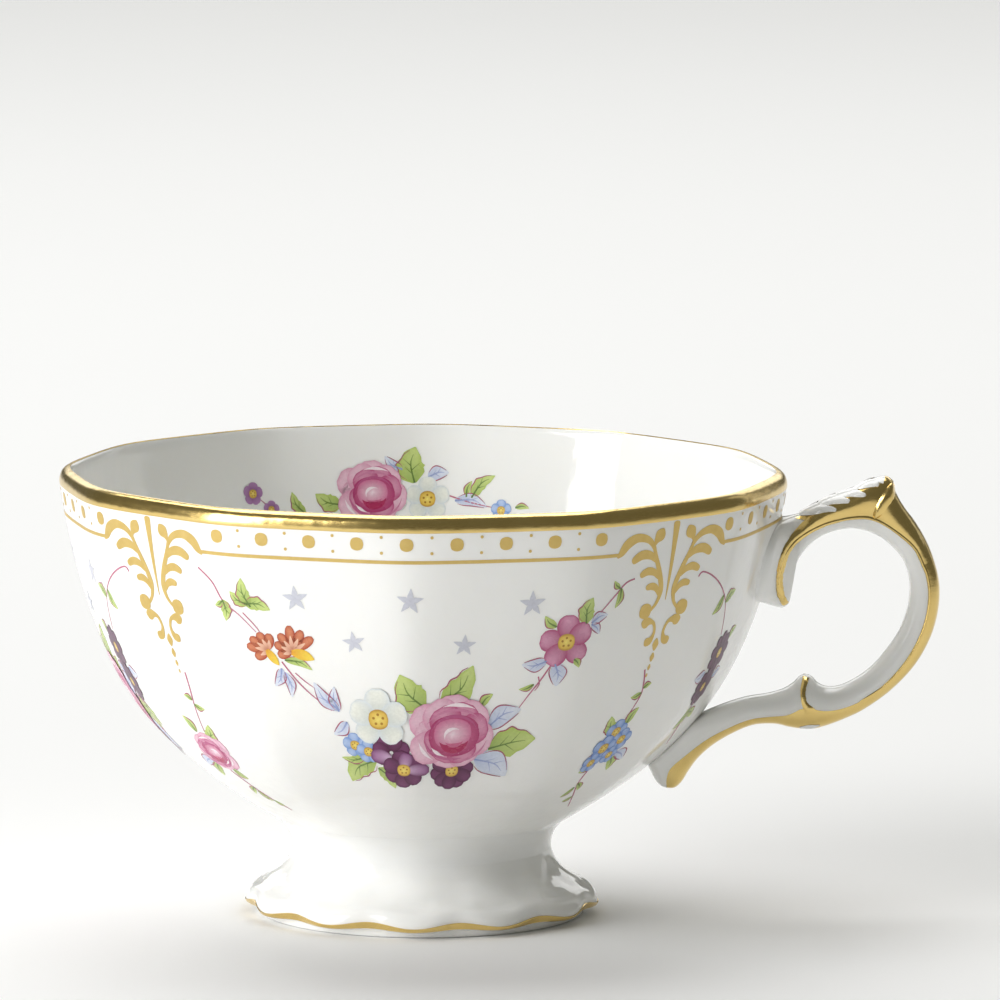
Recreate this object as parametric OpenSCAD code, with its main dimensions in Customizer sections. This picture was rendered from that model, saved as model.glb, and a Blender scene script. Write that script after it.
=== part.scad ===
// Fluted teacup on a pedestal foot, with a scrolled handle.
// Millimetres. The origin is on the cup's axis at table level, +Z is up and the handle is on +X.

/* [Cup] */
// Outer radius of the rim
rim_r = 52.2; // [49:0.1:55]
// Height of the lip above the table
cup_h = 64; // [60:0.5:68]

/* [Bowl] */
// Thickness of the wall at the rounded lip
lip_t = 1.8; // [1.5:0.1:2.2]
// Thickness of the floor at its centre
floor_t = 3.4; // [2.6:0.1:4]

/* [Foot] */
// Number of lobes around the foot's edge
lobe_count = 12; // [10:1:16]
// Radius of the foot's edge at the tip of a lobe
foot_edge_r = 25.2; // [24.5:0.1:26]
// Radius that rounds each lobe
lobe_r = 8; // [7.5:0.1:9]
// Height of the plain ring that stands on the table
base_ring_h = 1.4; // [1:0.1:1.8]
// Height of the lobed edge above the plain ring
foot_edge_h = 2.4; // [1.8:0.1:2.8]

/* [Handle] */
// Depth of the handle from side to side
handle_depth = 7; // [6:0.5:9]

/* [Joints and gilding] */
// Thickness of the slip that lutes the foot and handle to the bowl
slip_t = 0.3; // [0.2:0.05:0.5]
// Thickness of the fired gold
gilding_t = 0.1; // [0.08:0.01:0.15]
// Height of the gold band below the lip
rim_band_h = 2.4; // [1.5:0.1:4]

/* [Hidden] */
$fn = 96;

china = "white";
slip = "ivory";
gold = "goldenrod";

// The curves below are drawn for a rim radius of 52.2 and a height of 64, and stretch with both.
stretch = [rim_r / 52.2, cup_h / 64];
curve_steps = 20;
lip_steps = 6;
lip_r = lip_t / 2;
// Where the bowl's underside meets the neck of the foot
neck = [17.6, 12];
// Height of the inside of the floor at the axis
floor_top = 12.6;
// Outer radius of the foot at its neck, and inner radius of its top
neck_outer_r = 18.2;
neck_inner_r = 14.6;
// The plain ring that stands on the table
base_outer_r = 24.2;
base_inner_r = 21.6;
// The foot and handle are drawn into the bowl by this much and cut back to its surface
root_overlap = 4;
// Between the two handle joints
joint_split = 38;
spline_steps = 3;

function fitted(points) = [for (p = points) [p.x * stretch.x, p.y * stretch.y]];

// Points along a cubic curve with two end points and two handles
function bezier(c, steps = curve_steps) =
    [for (i = [0 : steps]) let (t = i / steps, s = 1 - t)
        s * s * s * c[0] + 3 * s * s * t * c[1] + 3 * s * t * t * c[2] + t * t * t * c[3]];

// A smooth curve through every point of a list, ends included
function spline(p, steps = spline_steps) =
    [for (i = [0 : len(p) - 2]) for (k = [0 : steps - (i < len(p) - 2 ? 1 : 0)])
        let (t = k / steps, a = p[max(i - 1, 0)], b = p[i], c = p[i + 1],
             d = p[min(i + 2, len(p) - 1)])
        0.5 * (2 * b + (c - a) * t + (2 * a - 5 * b + 4 * c - d) * t * t
               + (3 * b - a - 3 * c + d) * t * t * t)];

// Unit normal on the right-hand side of a curve at point i
function right_normal(c, i) =
    let (d = c[min(i + 1, len(c) - 1)] - c[max(i - 1, 0)]) [d.y, -d.x] / norm(d);

function moved_right(c, by) = [for (i = [0 : len(c) - 1]) c[i] + by * right_normal(c, i)];

function reversed(c) = [for (i = [len(c) - 1 : -1 : 0]) c[i]];

// Outside of the bowl from the axis to the lip, and its inside from the axis to the lip
underside = bezier(fitted([[0, floor_top - floor_t], [8, floor_top - floor_t], [13.5, 9.6], neck]));
outside = bezier([fitted([neck])[0], fitted([[33.7, 22.5]])[0], fitted([[46, 27.6]])[0],
                  [rim_r, cup_h - lip_r]]);
bowl_outside = concat(underside, [for (i = [1 : curve_steps]) outside[i]]);
bowl_inside = bezier([fitted([[0, floor_top]])[0], fitted([[22, floor_top]])[0],
                      fitted([[45.5, 27]])[0], [rim_r - lip_t, cup_h - lip_r]]);
lip = [for (i = [1 : lip_steps - 1]) let (a = 180 * i / lip_steps)
          [rim_r - lip_r + lip_r * cos(a), cup_h - lip_r + lip_r * sin(a)]];

// Outer edge of the handle, from its top root over the thumb spur to the lower root's tip
handle_outer = spline(fitted([
    [47, 56.6], [51.6, 57.5], [53.8, 58.1], [55.9, 59.4], [58.5, 60.7], [61.4, 61.6],
    [63.7, 62.9], [65.6, 63.5], [66.9, 62.9], [67.5, 61], [68.6, 59], [70.5, 56.5],
    [72.3, 53.2], [73.5, 49.5], [73.8, 46.5], [73.4, 43.2], [72.3, 39.8], [70.2, 36.2],
    [66.9, 32.7], [63.2, 30], [59.6, 28.3], [56.3, 27.2], [53.6, 27.2], [51.2, 27.7],
    [48.7, 27.8], [46.1, 27.2], [43.5, 25.8], [40.7, 23.9], [38.8, 21.8], [37.5, 19.6],
    [36.3, 18.4], [35, 18.2], [33.8, 19], [33.2, 20.6], [31.5, 22.5]]));
// Inner edge of the handle, from its lower root over the inner bump to the hook under the top root
handle_inner = spline(fitted([
    [37, 28.2], [41, 29.6], [45, 31.1], [49.7, 32.1], [51.6, 32.7], [53, 33.6],
    [53.9, 34.5], [54.8, 34.8], [55.7, 34.5], [56.6, 33.6], [57.8, 33.1], [59.6, 33.3],
    [61.5, 34.1], [64, 35.9], [66.1, 38.4], [68, 41.3], [69.1, 44.3], [69.5, 47],
    [69.4, 49.2], [68.7, 51.2], [67.2, 53.2], [65.3, 54.8], [63.2, 55.7], [61.4, 56],
    [59.6, 55.8], [57.6, 55.2], [55.6, 53.9], [54.1, 52.2], [53.2, 50.4], [52.7, 48.5],
    [52.7, 46.8], [52.4, 45.3], [51.6, 44.6], [50, 44.9], [48.4, 45.4], [46.8, 45.1],
    [44, 45.6]]));

// Solid of revolution inside the bowl's outside, grown outwards by a distance
module bowl_blank(grown = 0) {
    rotate_extrude()
        polygon(concat([[0, cup_h]], [[0, bowl_outside[0].y - grown]],
                       [for (i = [1 : len(bowl_outside) - 1])
                           bowl_outside[i] + grown * right_normal(bowl_outside, i)],
                       [[rim_r + grown, cup_h]]));
}

module slip_layer() {
    difference() {
        bowl_blank(slip_t);
        bowl_blank();
    }
}

module bowl() {
    color(china)
        rotate_extrude()
            polygon(concat(bowl_outside, lip, reversed(bowl_inside)));
}

// The lobed outline of the foot's edge, grown outwards by a distance
module lobed_outline(grown = 0) {
    lobe_centre_r = foot_edge_r - lobe_r;
    circle(r = lobe_centre_r);
    for (i = [0 : lobe_count - 1])
        rotate(360 / lobe_count * i)
            translate([lobe_centre_r, 0])
                circle(r = lobe_r + grown);
}

foot_flare = bezier([[neck_outer_r, neck.y * stretch.y], [18.3, 8], [21, 5.6], [23.6, 4.4]]);
foot_hollow = bezier([[base_inner_r, 0], [19.5, 4], [15.5, 5.5],
                      [neck_inner_r, (neck.y + 1) * stretch.y]]);

module foot() {
    color(china)
        difference() {
            union() {
                rotate_extrude()
                    polygon(concat([[neck_outer_r, neck.y * stretch.y + root_overlap]], foot_flare,
                                   [[base_outer_r, base_ring_h], [base_outer_r, 0]], foot_hollow,
                                   [[neck_inner_r, neck.y * stretch.y + root_overlap]]));
                translate([0, 0, base_ring_h])
                    linear_extrude(foot_edge_h)
                        difference() {
                            lobed_outline();
                            circle(r = base_inner_r);
                        }
            }
            bowl_blank(slip_t);
        }
}

module foot_slip_joint() {
    color(slip)
        intersection() {
            slip_layer();
            difference() {
                cylinder(r = neck_outer_r, h = neck.y * stretch.y + root_overlap);
                cylinder(r = neck_inner_r, h = 3 * cup_h, center = true);
            }
        }
}

// The handle's side view at its full depth, drawn on into the bowl
module handle_blank() {
    rotate([90, 0, 0])
        linear_extrude(handle_depth, center = true)
            polygon(concat(handle_outer, handle_inner));
}

module handle() {
    color(china)
        difference() {
            handle_blank();
            bowl_blank(slip_t);
        }
}

module handle_slip(low, high) {
    color(slip)
        intersection() {
            handle_blank();
            slip_layer();
            translate([0, -rim_r, low])
                cube([2 * rim_r, 2 * rim_r, high - low]);
        }
}

module upper_handle_slip_joint() {
    handle_slip(joint_split * stretch.y, cup_h);
}

module lower_handle_slip_joint() {
    handle_slip(0, joint_split * stretch.y);
}

module rim_gilding() {
    color(gold)
        difference() {
            bowl_blank(gilding_t);
            bowl_blank();
            cylinder(r = 2 * rim_r, h = cup_h - rim_band_h);
        }
}

module foot_gilding() {
    color(gold)
        translate([0, 0, base_ring_h])
            linear_extrude(foot_edge_h / 2)
                difference() {
                    lobed_outline(gilding_t);
                    lobed_outline();
                }
}

// The gold runs along the handle's outer edge, clear of both joints
module handle_gilding() {
    first = 2 * spline_steps;
    last = len(handle_outer) - 1 - 4 * spline_steps;
    edge = [for (i = [first : last]) handle_outer[i]];
    color(gold)
        rotate([90, 0, 0])
            linear_extrude(handle_depth, center = true)
                polygon(concat(edge, reversed(moved_right(edge, -gilding_t))));
}

bowl();
foot();
handle();
foot_slip_joint();
upper_handle_slip_joint();
lower_handle_slip_joint();
rim_gilding();
foot_gilding();
handle_gilding();
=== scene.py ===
import math
from bisect import bisect

import bpy
from mathutils import Matrix, Vector


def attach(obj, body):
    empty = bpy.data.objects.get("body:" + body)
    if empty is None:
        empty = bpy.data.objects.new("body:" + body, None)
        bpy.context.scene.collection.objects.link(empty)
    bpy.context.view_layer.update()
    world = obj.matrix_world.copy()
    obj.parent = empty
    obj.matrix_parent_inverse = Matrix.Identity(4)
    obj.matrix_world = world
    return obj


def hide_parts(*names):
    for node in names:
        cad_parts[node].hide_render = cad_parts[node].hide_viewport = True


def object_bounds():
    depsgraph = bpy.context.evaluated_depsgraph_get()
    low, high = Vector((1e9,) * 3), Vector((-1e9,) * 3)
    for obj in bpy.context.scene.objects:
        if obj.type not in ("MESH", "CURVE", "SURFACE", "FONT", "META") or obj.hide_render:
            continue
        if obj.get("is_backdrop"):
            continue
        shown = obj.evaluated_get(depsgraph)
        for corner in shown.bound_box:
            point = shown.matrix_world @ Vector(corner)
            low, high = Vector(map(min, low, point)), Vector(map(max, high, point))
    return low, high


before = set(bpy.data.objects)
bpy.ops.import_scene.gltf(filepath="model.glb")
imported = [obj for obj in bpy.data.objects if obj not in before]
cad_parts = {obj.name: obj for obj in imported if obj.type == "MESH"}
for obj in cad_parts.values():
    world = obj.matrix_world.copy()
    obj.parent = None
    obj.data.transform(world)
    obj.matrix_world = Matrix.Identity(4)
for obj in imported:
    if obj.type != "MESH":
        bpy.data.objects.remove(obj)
cad_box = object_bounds()


# The table under the cup: one wide pale sheet with a faint mottle, lit from the left by a big soft
# box. A box overhead and a wide one behind keep the table pale, and a narrow one rims the china.
class Wire:
    """A socket in a shader tree, so that maths on it reads as maths."""

    def __init__(self, tree, socket):
        self.tree, self.socket = tree, socket

    def maths(self, operation, *values):
        step = self.tree.nodes.new("ShaderNodeMath")
        step.operation = operation
        for place, value in zip(step.inputs, values):
            feed(place, value)
        return Wire(self.tree, step.outputs[0])

    def __add__(self, other):
        return self.maths("ADD", self, other)

    def __mul__(self, other):
        return self.maths("MULTIPLY", self, other)

    __radd__, __rmul__ = __add__, __mul__


def feed(place, value):
    if isinstance(value, Wire):
        value.tree.links.new(value.socket, place)
    else:
        place.default_value = value


class Finish:
    """A material with a principled surface, built one node at a time."""

    def __init__(self, name):
        self.material = bpy.data.materials.new(name)
        self.material.use_nodes = True
        self.tree = self.material.node_tree
        self.surface = self.tree.nodes["Principled BSDF"]
        self.place = self.node("ShaderNodeTexCoord", output="Object")

    def node(self, kind, settings=(), inputs=(), output=0):
        step = self.tree.nodes.new(kind)
        for key, value in dict(settings).items():
            if key == "stops":
                ramp = step.color_ramp.elements
                while len(ramp) < len(value):
                    ramp.new(0.5)
                for stop, (position, colour) in zip(ramp, value):
                    stop.position, stop.color = position, (*colour, 1)
            else:
                setattr(step, key, value)
        for key, value in dict(inputs).items():
            feed(step.inputs[key], value)
        return Wire(self.tree, step.outputs[output])

    def noise(self, size, detail=2.0):
        """Mottle whose patches are about size metres across."""
        inputs = {"Vector": self.place, "Scale": 1 / size, "Detail": detail}
        return self.node("ShaderNodeTexNoise", inputs=inputs)

    def blend(self, factor, first, second, how="MIX"):
        settings = {"data_type": "RGBA", "blend_type": how}
        return self.node("ShaderNodeMix", settings, {0: factor, 6: first, 7: second}, 2)

    def bump(self, height, distance):
        """Relief on the surface, distance metres high where the height is 1."""
        inputs = {"Height": height, "Distance": distance, "Strength": 1.0}
        return self.node("ShaderNodeBump", inputs=inputs)

    def set(self, **sockets):
        for name, value in sockets.items():
            feed(self.surface.inputs[name.replace("_", " ")], value)
        return self.material


def start_clean():
    bpy.ops.object.select_all(action="DESELECT")


start_clean()
bpy.ops.mesh.primitive_grid_add(x_subdivisions=24, y_subdivisions=24, size=16)
table = bpy.context.object
table.name = "table_top"
paper = Finish("pale_paper")
paper_tone = paper.blend(paper.noise(0.4) * 0.5, (0.91, 0.91, 0.91, 1), (0.95, 0.95, 0.95, 1))
table.data.materials.append(paper.set(Base_Color=paper_tone, Roughness=0.85))
table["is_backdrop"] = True


def soft_box(name, width, height, place, power):
    """A studio soft box that faces the middle of the cup."""
    light = bpy.data.lights.new(name, "AREA")
    light.shape, light.size, light.size_y = "RECTANGLE", width, height
    light.energy = power
    lamp = bpy.data.objects.new(name, light)
    bpy.context.scene.collection.objects.link(lamp)
    lamp.location = place
    towards_cup = Vector((0, 0, 0.04)) - lamp.location
    lamp.rotation_euler = towards_cup.to_track_quat("-Z", "Y").to_euler()


soft_box("key_left", 1.0, 1.1, (-1.22, -0.74, 0.52), 22)
soft_box("overhead", 1.5, 1.5, (-0.2, 0.8, 1.6), 23)
soft_box("far_table", 2.4, 0.8, (0.0, 2.6, 0.9), 9)
soft_box("rim_behind", 0.25, 0.9, (0.9, 1.1, 0.5), 0.4)

room = bpy.data.worlds.new("studio")
bpy.context.scene.world = room
room.use_nodes = True
room.node_tree.nodes["Background"].inputs["Color"].default_value = (0.95, 0.95, 0.82, 1)
room.node_tree.nodes["Background"].inputs["Strength"].default_value = 0.15

# The camera stands a metre and a half away and a little to the handle's side of the front.
camera_turn, camera_roll = math.radians(2.5), math.radians(0.23)
camera_distance, camera_height = 1.5, 0.2613
sight = Vector((-math.sin(camera_turn), math.cos(camera_turn), 0))
rightward = Vector((math.cos(camera_turn), math.sin(camera_turn), 0))
aim = 0.011 * rightward + Vector((0, 0, 0.0595))
camera_lens = bpy.data.cameras.new("camera")
camera_lens.lens, camera_lens.sensor_width = 381.5, 36
camera = bpy.data.objects.new("camera", camera_lens)
bpy.context.scene.collection.objects.link(camera)
camera.location = -camera_distance * sight + Vector((0, 0, camera_height))
level = (aim - camera.location).to_track_quat("-Z", "Y")
camera.rotation_euler = (level.to_matrix() @ Matrix.Rotation(camera_roll, 3, "Z")).to_euler()
bpy.context.scene.camera = camera
bpy.context.scene.view_settings.view_transform = "Standard"


# The bowl: one thin wall of bone china, cast in a mould with twelve soft flutes and a rounded
# lip. Sizes from here on are in millimetres, and a turn is measured from the front panel's middle.
mm = 0.001


def curve(ends, steps):
    """Points along a cubic curve with two end points and two handles."""
    points = []
    for step in range(steps + 1):
        t = step / steps
        s = 1 - t
        weights = (s ** 3, 3 * s * s * t, 3 * s * t * t, t ** 3)
        points.append(tuple(sum(w * p[k] for w, p in zip(weights, ends)) for k in (0, 1)))
    return points


def turned(name, profile, steps=240):
    """A solid thrown on the wheel: a profile of (radius, height) in mm, spun about the axis."""
    start_clean()
    bpy.ops.mesh.primitive_plane_add(size=mm)
    bpy.ops.object.mode_set(mode="EDIT")
    bpy.ops.mesh.merge(type="CENTER")
    here = Vector((0, 0, 0))
    for number, (radius, height) in enumerate(profile):
        there = Vector((0, -radius * mm, height * mm))
        if number == 0:
            bpy.ops.transform.translate(value=there)
        else:
            bpy.ops.mesh.extrude_region_move(TRANSFORM_OT_translate={"value": there - here})
        here = there
    bpy.ops.mesh.select_all(action="SELECT")
    bpy.ops.mesh.spin(steps=steps, angle=math.tau, center=(0, 0, 0), axis=(0, 0, 1))
    bpy.ops.mesh.select_all(action="SELECT")
    bpy.ops.mesh.remove_doubles(threshold=0.005 * mm)
    bpy.ops.mesh.normals_make_consistent(inside=False)
    bpy.ops.object.mode_set(mode="OBJECT")
    piece = bpy.context.object
    piece.name = name
    bpy.ops.object.shade_smooth()
    return piece


flutes = 12
cup_height, wall_top = 64.0, 61.6
neck_radius, neck_height = 17.6, 12.0
floor_height = 12.6
underside = curve(((0, 9.2), (8, 9.2), (13.5, 9.6), (neck_radius, neck_height)), 12)
wall = curve(((neck_radius, neck_height), (35.2, 22.4), (46.9, 29.0), (51.9, wall_top)), 72)
inside = curve(((0, floor_height), (22, floor_height), (45.5, 27), (49.8, wall_top)), 64)
lip = curve((wall[-1], (51.95, 62.9), (51.6, 63.95), (50.6, 63.95)), 8)[1:]
lip += curve((lip[-1], (50.1, 63.95), (49.9, 63.1), inside[-1]), 6)[1:-1]


def flute(turn, height):
    """How far the flutes draw the wall in, in mm, at a turn in radians from the front."""
    rise = min(max((height - neck_height) / (cup_height - neck_height), 0), 1)
    soft_ridge = 0.24 + 0.5 * rise ** 6
    panel = math.hypot(math.sin(flutes * turn / 2), soft_ridge) - soft_ridge
    depth = (0.5 + 0.5 * rise - 0.3 * rise ** 6) * min(1, 4 * rise)
    return depth * panel / (math.hypot(1, soft_ridge) - soft_ridge)


def fluted(piece, drawn_in):
    """Presses the mould's flutes into a turned piece."""
    for point in piece.data.vertices:
        radius = point.co.xy.length
        if radius > mm:
            turn = math.atan2(point.co.x, -point.co.y)
            keep = 1 - drawn_in(turn, point.co.z / mm) * mm / radius
            point.co.x *= keep
            point.co.y *= keep


bowl = turned("bowl_wall", underside + wall[1:] + lip + inside[::-1], 360)
fluted(bowl, flute)

china = Finish("bone_china_glaze")
cloud = china.noise(0.03, 3)
china_tone = china.blend(cloud, (0.93, 0.93, 0.905, 1), (0.95, 0.95, 0.935, 1))
pooling = china.noise(0.012, 1) * 0.7 + china.noise(0.0022, 2) * 0.3
china.set(Base_Color=china_tone, Roughness=china.noise(0.008) * 0.04 + 0.05,
          Normal=china.bump(pooling, 0.00012), IOR=1.52, Subsurface_Weight=0.12,
          Subsurface_Radius=(0.004, 0.0035, 0.0028), Subsurface_Scale=0.5)
bowl.data.materials.append(china.material)
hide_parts("bowl")
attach(bowl, "root")

# The foot: a hollow pedestal cast on its own, flaring from the neck to twelve rounded lobes that
# stand over a plain ring. Slip lutes it under the bowl before the glaze is fired.
flare = curve(((18.3, 12.9), (18.1, 8.2), (19.6, 5.8), (24.0, 4.3)), 20)
edge = curve(((24.0, 4.3), (25.1, 3.8), (25.55, 2.7), (25.0, 1.75)), 10)
base_ring = [(24.7, 1.45), (24.3, 1.3), (23.8, 1.2), (23.45, 0.95), (23.3, 0.6), (23.2, 0.25),
             (22.9, 0.06), (22.5, 0.0), (22.1, 0.0), (21.7, 0.12), (21.5, 0.5)]
hollow = curve(((21.3, 1.0), (19.4, 4.2), (15.8, 5.6), (14.6, 10.6)), 16)
foot = turned("foot_pedestal", flare + edge[1:] + base_ring + hollow + [(18.3, 12.9)])


def foot_lobes(turn, height):
    """How far the foot is drawn in between its lobes, in mm."""
    spread = min(max((neck_height - height) / 8.5, 0), 1)
    soft_valley = 0.4
    lobe = math.hypot(1, soft_valley) - math.hypot(math.cos(flutes * turn / 2), soft_valley)
    over_ring = min(max((height - 0.7) / 1.1, 0), 1)
    over_ring *= over_ring * (3 - 2 * over_ring)
    depth = 0.75 * (0.7 * spread ** 3 + 0.3 * spread)
    return depth * over_ring * lobe / (math.hypot(1, soft_valley) - soft_valley)


def foot_dip(turn, height):
    """How far the foot's edge hangs down in the middle of each lobe, in mm."""
    rise = min(max((height - 0.8) / 1.2, 0), 1)
    fade = min(max((6.5 - height) / 3.5, 0), 1)
    lobe = 0.5 - 0.5 * math.cos(flutes * turn + math.pi)
    return 0.75 * rise * fade * lobe


fluted(foot, foot_lobes)
dips_beyond = 22.6
for point in foot.data.vertices:
    if point.co.xy.length > dips_beyond * mm:
        turn = math.atan2(point.co.x, -point.co.y)
        point.co.z -= foot_dip(turn, point.co.z / mm) * mm
foot.data.materials.append(china.material)
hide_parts("foot")
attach(foot, "root")

# The slip joint: liquid china lutes the foot to the bowl. What squeezes out is wiped to a small
# hollow fillet all round the neck, and it fires to the same glazed white.
hollow_fillet = curve(((21.3, 14.34), (19.4, 13.05), (18.2, 11.4), (18.6, 9.1)), 16)
back_top, back_bottom = (18.0, 13.4), (18.0, 9.1)
slip_fillet = turned("foot_slip_fillet", [back_top] + hollow_fillet + [back_bottom, back_top])
bpy.ops.object.shade_smooth_by_angle(angle=math.radians(40))
fluted(slip_fillet, foot_lobes)
slip_fillet.data.materials.append(china.material)
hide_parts("foot_slip_joint")
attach(slip_fillet, "root")

# The handle: cast in its own mould as a flattened scroll. A broad root ends in a hook under the
# arch, the arch has a thumb spur, and the ring runs back past a bump and a leaf to the lower root.
# Each station is an outer point, an inner point and half the depth, in mm.
handle_stations = [
    (48.5, 57.3, 46.0, 45.4, 6.4), (51.0, 57.4, 48.4, 45.3, 5.4), (52.5, 57.7, 50.0, 44.8, 4.4),
    (53.2, 57.9, 51.5, 44.5, 3.8), (54.0, 58.2, 52.4, 45.3, 3.5), (54.6, 58.6, 52.7, 46.8, 3.4),
    (55.3, 59.0, 52.7, 48.5, 3.3), (56.1, 59.5, 53.2, 50.4, 3.2), (57.2, 60.1, 54.1, 52.2, 3.1),
    (58.6, 60.7, 55.6, 53.9, 3.0), (60.2, 61.2, 57.6, 55.2, 3.0), (61.8, 61.9, 59.6, 55.8, 3.0),
    (63.7, 62.9, 61.4, 56.0, 3.0), (65.6, 63.5, 63.2, 55.7, 2.9), (66.9, 62.9, 64.5, 55.2, 2.9),
    (67.5, 61.0, 65.6, 54.6, 2.9), (68.6, 59.0, 66.6, 53.8, 2.9), (70.5, 56.5, 67.9, 52.5, 2.9),
    (72.3, 53.2, 68.8, 51.0, 2.9), (73.5, 49.5, 69.4, 49.0, 2.8), (73.8, 46.5, 69.5, 46.7, 2.8),
    (73.4, 43.2, 69.1, 44.2, 2.8), (72.3, 39.8, 68.1, 41.4, 2.8), (70.2, 36.2, 66.3, 38.6, 2.9),
    (66.9, 32.7, 64.0, 35.9, 2.9), (63.2, 30.0, 61.5, 34.1, 3.0), (60.4, 28.6, 59.4, 33.2, 3.1),
    (58.4, 27.8, 57.8, 33.1, 3.2), (57.2, 27.4, 56.6, 33.6, 3.2), (56.1, 27.1, 55.7, 34.5, 3.2),
    (55.0, 27.1, 54.8, 34.8, 3.2), (54.2, 27.1, 53.9, 34.5, 3.2), (53.4, 27.2, 53.0, 33.6, 3.2),
    (52.3, 27.4, 51.6, 32.7, 3.2), (50.4, 27.8, 49.3, 32.0, 3.2), (47.4, 27.6, 46.0, 31.4, 3.2),
    (44.5, 26.4, 42.0, 30.0, 3.3), (41.7, 24.7, 38.5, 28.2, 3.4), (39.6, 22.8, 35.0, 25.2, 3.4),
    (38.2, 20.9, 32.4, 22.6, 3.3), (37.3, 19.4, 32.9, 20.4, 3.0), (36.4, 18.5, 33.8, 19.0, 2.3),
    (35.6, 18.3, 34.7, 18.4, 1.0)]
section_squareness = 2.5


def between(stations, place):
    """The values at a place along a list of stations, on a smooth curve through them all."""
    first = min(max(int(place), 0), len(stations) - 2)
    t = place - first
    a, b, c, d = (stations[min(max(first + k, 0), len(stations) - 1)] for k in (-1, 0, 1, 2))
    return [0.5 * (2 * q + (r - p) * t + (2 * p - 5 * q + 4 * r - s) * t * t
                   + (3 * q - p - 3 * r + s) * t ** 3) for p, q, r, s in zip(a, b, c, d)]


def wall_radius(height):
    """Radius of the bowl's outside at a height, on the ridge of a flute, in mm."""
    for low, high in zip(wall, wall[1:]):
        if height <= high[1]:
            return low[0] + (high[0] - low[0]) * (height - low[1]) / (high[1] - low[1])
    return wall[-1][0]


def squared(value):
    return math.copysign(abs(value) ** (2 / section_squareness), value)


def chord(place):
    """The handle's middle at a station, the way from there to its outer edge, and half its depth."""
    outer_x, outer_z, inner_x, inner_z, depth = between(handle_stations, place)
    middle = Vector((outer_x + inner_x, 0, outer_z + inner_z)) / 2
    reach = Vector((outer_x - inner_x, 0, outer_z - inner_z)) / 2
    return middle, reach, depth


def settled(point, proud=0.0):
    """Spreads the handle's skin where it meets the bowl, and keeps its root inside the wall."""
    if point.z < neck_height:
        return point
    clear = point.xy.length - wall_radius(point.z)
    point.y *= 1 + 0.5 * math.exp(-max(clear, 0) / 1.3)
    root = wall_radius(point.z) - 0.9 + proud
    if point.xy.length < root:
        spread = math.atan2(point.y, max(point.x, 1))
        point.x, point.y = root * math.cos(spread), root * math.sin(spread)
    return point


def sheet(name, columns, rows, place):
    """A flat grid bent into shape: place gives the point in mm for two fractions from 0 to 1."""
    start_clean()
    bpy.ops.mesh.primitive_grid_add(x_subdivisions=columns, y_subdivisions=rows, size=2)
    piece = bpy.context.object
    piece.name = name
    for point in piece.data.vertices:
        point.co = place((point.co.x + 1) / 2, (point.co.y + 1) / 2) * mm
    return piece


def sealed(piece):
    """Welds a bent grid's seams, closes its open ends and faces it outwards."""
    bpy.ops.object.mode_set(mode="EDIT")
    bpy.ops.mesh.select_all(action="SELECT")
    bpy.ops.mesh.remove_doubles(threshold=0.004 * mm)
    bpy.ops.mesh.select_all(action="DESELECT")
    bpy.ops.mesh.select_non_manifold()
    bpy.ops.mesh.edge_face_add()
    bpy.ops.mesh.select_all(action="SELECT")
    bpy.ops.mesh.normals_make_consistent(inside=False)
    bpy.ops.object.mode_set(mode="OBJECT")
    bpy.ops.object.shade_smooth()
    return piece


last_station = len(handle_stations) - 1


def handle_skin(along, around):
    middle, reach, depth = chord(along * last_station)
    turn = around * math.tau
    return settled(middle + reach * squared(math.cos(turn))
                   + Vector((0, depth * squared(math.sin(turn)), 0)))


handle = sealed(sheet("handle_scroll", 252, 36, handle_skin))
handle.data.materials.append(china.material)
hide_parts("handle", "upper_handle_slip_joint", "lower_handle_slip_joint")
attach(handle, "root")

# The burnished gold: liquid gold brushed on over the glaze, fired and rubbed bright. A band covers
# the outside of the lip, a line follows the foot's lobes, and the handle's outer edge is covered.
gold = Finish("burnished_gold")
brushed = gold.node("ShaderNodeMapping", inputs={"Vector": gold.place, "Scale": (1, 1, 5)})
streaks = gold.node("ShaderNodeTexNoise", inputs={"Vector": brushed, "Scale": 420, "Detail": 3.0})
gold_tone = gold.blend(gold.noise(0.006, 3), (0.74, 0.52, 0.17, 1), (0.86, 0.66, 0.27, 1))
gold.set(Base_Color=gold_tone, Metallic=1.0, Roughness=streaks * 0.14 + 0.14,
         Normal=gold.bump(gold.noise(0.0035) + streaks * 0.15, 0.00009))


def gilded(piece):
    """Gives a thin sheet over the glaze its thickness and its gold."""
    bpy.ops.object.mode_set(mode="EDIT")
    bpy.ops.mesh.select_all(action="SELECT")
    bpy.ops.mesh.remove_doubles(threshold=0.003 * mm)
    bpy.ops.object.mode_set(mode="OBJECT")
    layer = piece.modifiers.new("layer", "SOLIDIFY")
    layer.thickness, layer.offset = 0.12 * mm, -1
    bpy.ops.object.modifier_apply(modifier="layer")
    bpy.ops.object.mode_set(mode="EDIT")
    bpy.ops.mesh.select_all(action="SELECT")
    bpy.ops.mesh.remove_doubles(threshold=0.003 * mm)
    bpy.ops.mesh.normals_make_consistent(inside=False)
    bpy.ops.object.mode_set(mode="OBJECT")
    bpy.ops.object.shade_smooth_by_angle(angle=math.radians(50))
    piece.data.materials.append(gold.material)


rim_roll = curve(((51.96, 61.75), (52.1, 62.6), (51.75, 64.03), (50.45, 64.03)), 16)


def rim_band(around, up):
    turn = around * math.tau
    radius, height = between(rim_roll, up * (len(rim_roll) - 1))
    radius -= flute(turn, wall_top)
    return Vector((radius * math.sin(turn), -radius * math.cos(turn), height))


rim_gold = sheet("rim_gilding_band", 360, 16, rim_band)
gilded(rim_gold)
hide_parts("rim_gilding")
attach(rim_gold, "root")

foot_line_profile, foot_line_lift = [(24.68, 1.42), (25.0, 1.75), (25.31, 2.35)], 0.07


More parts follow.
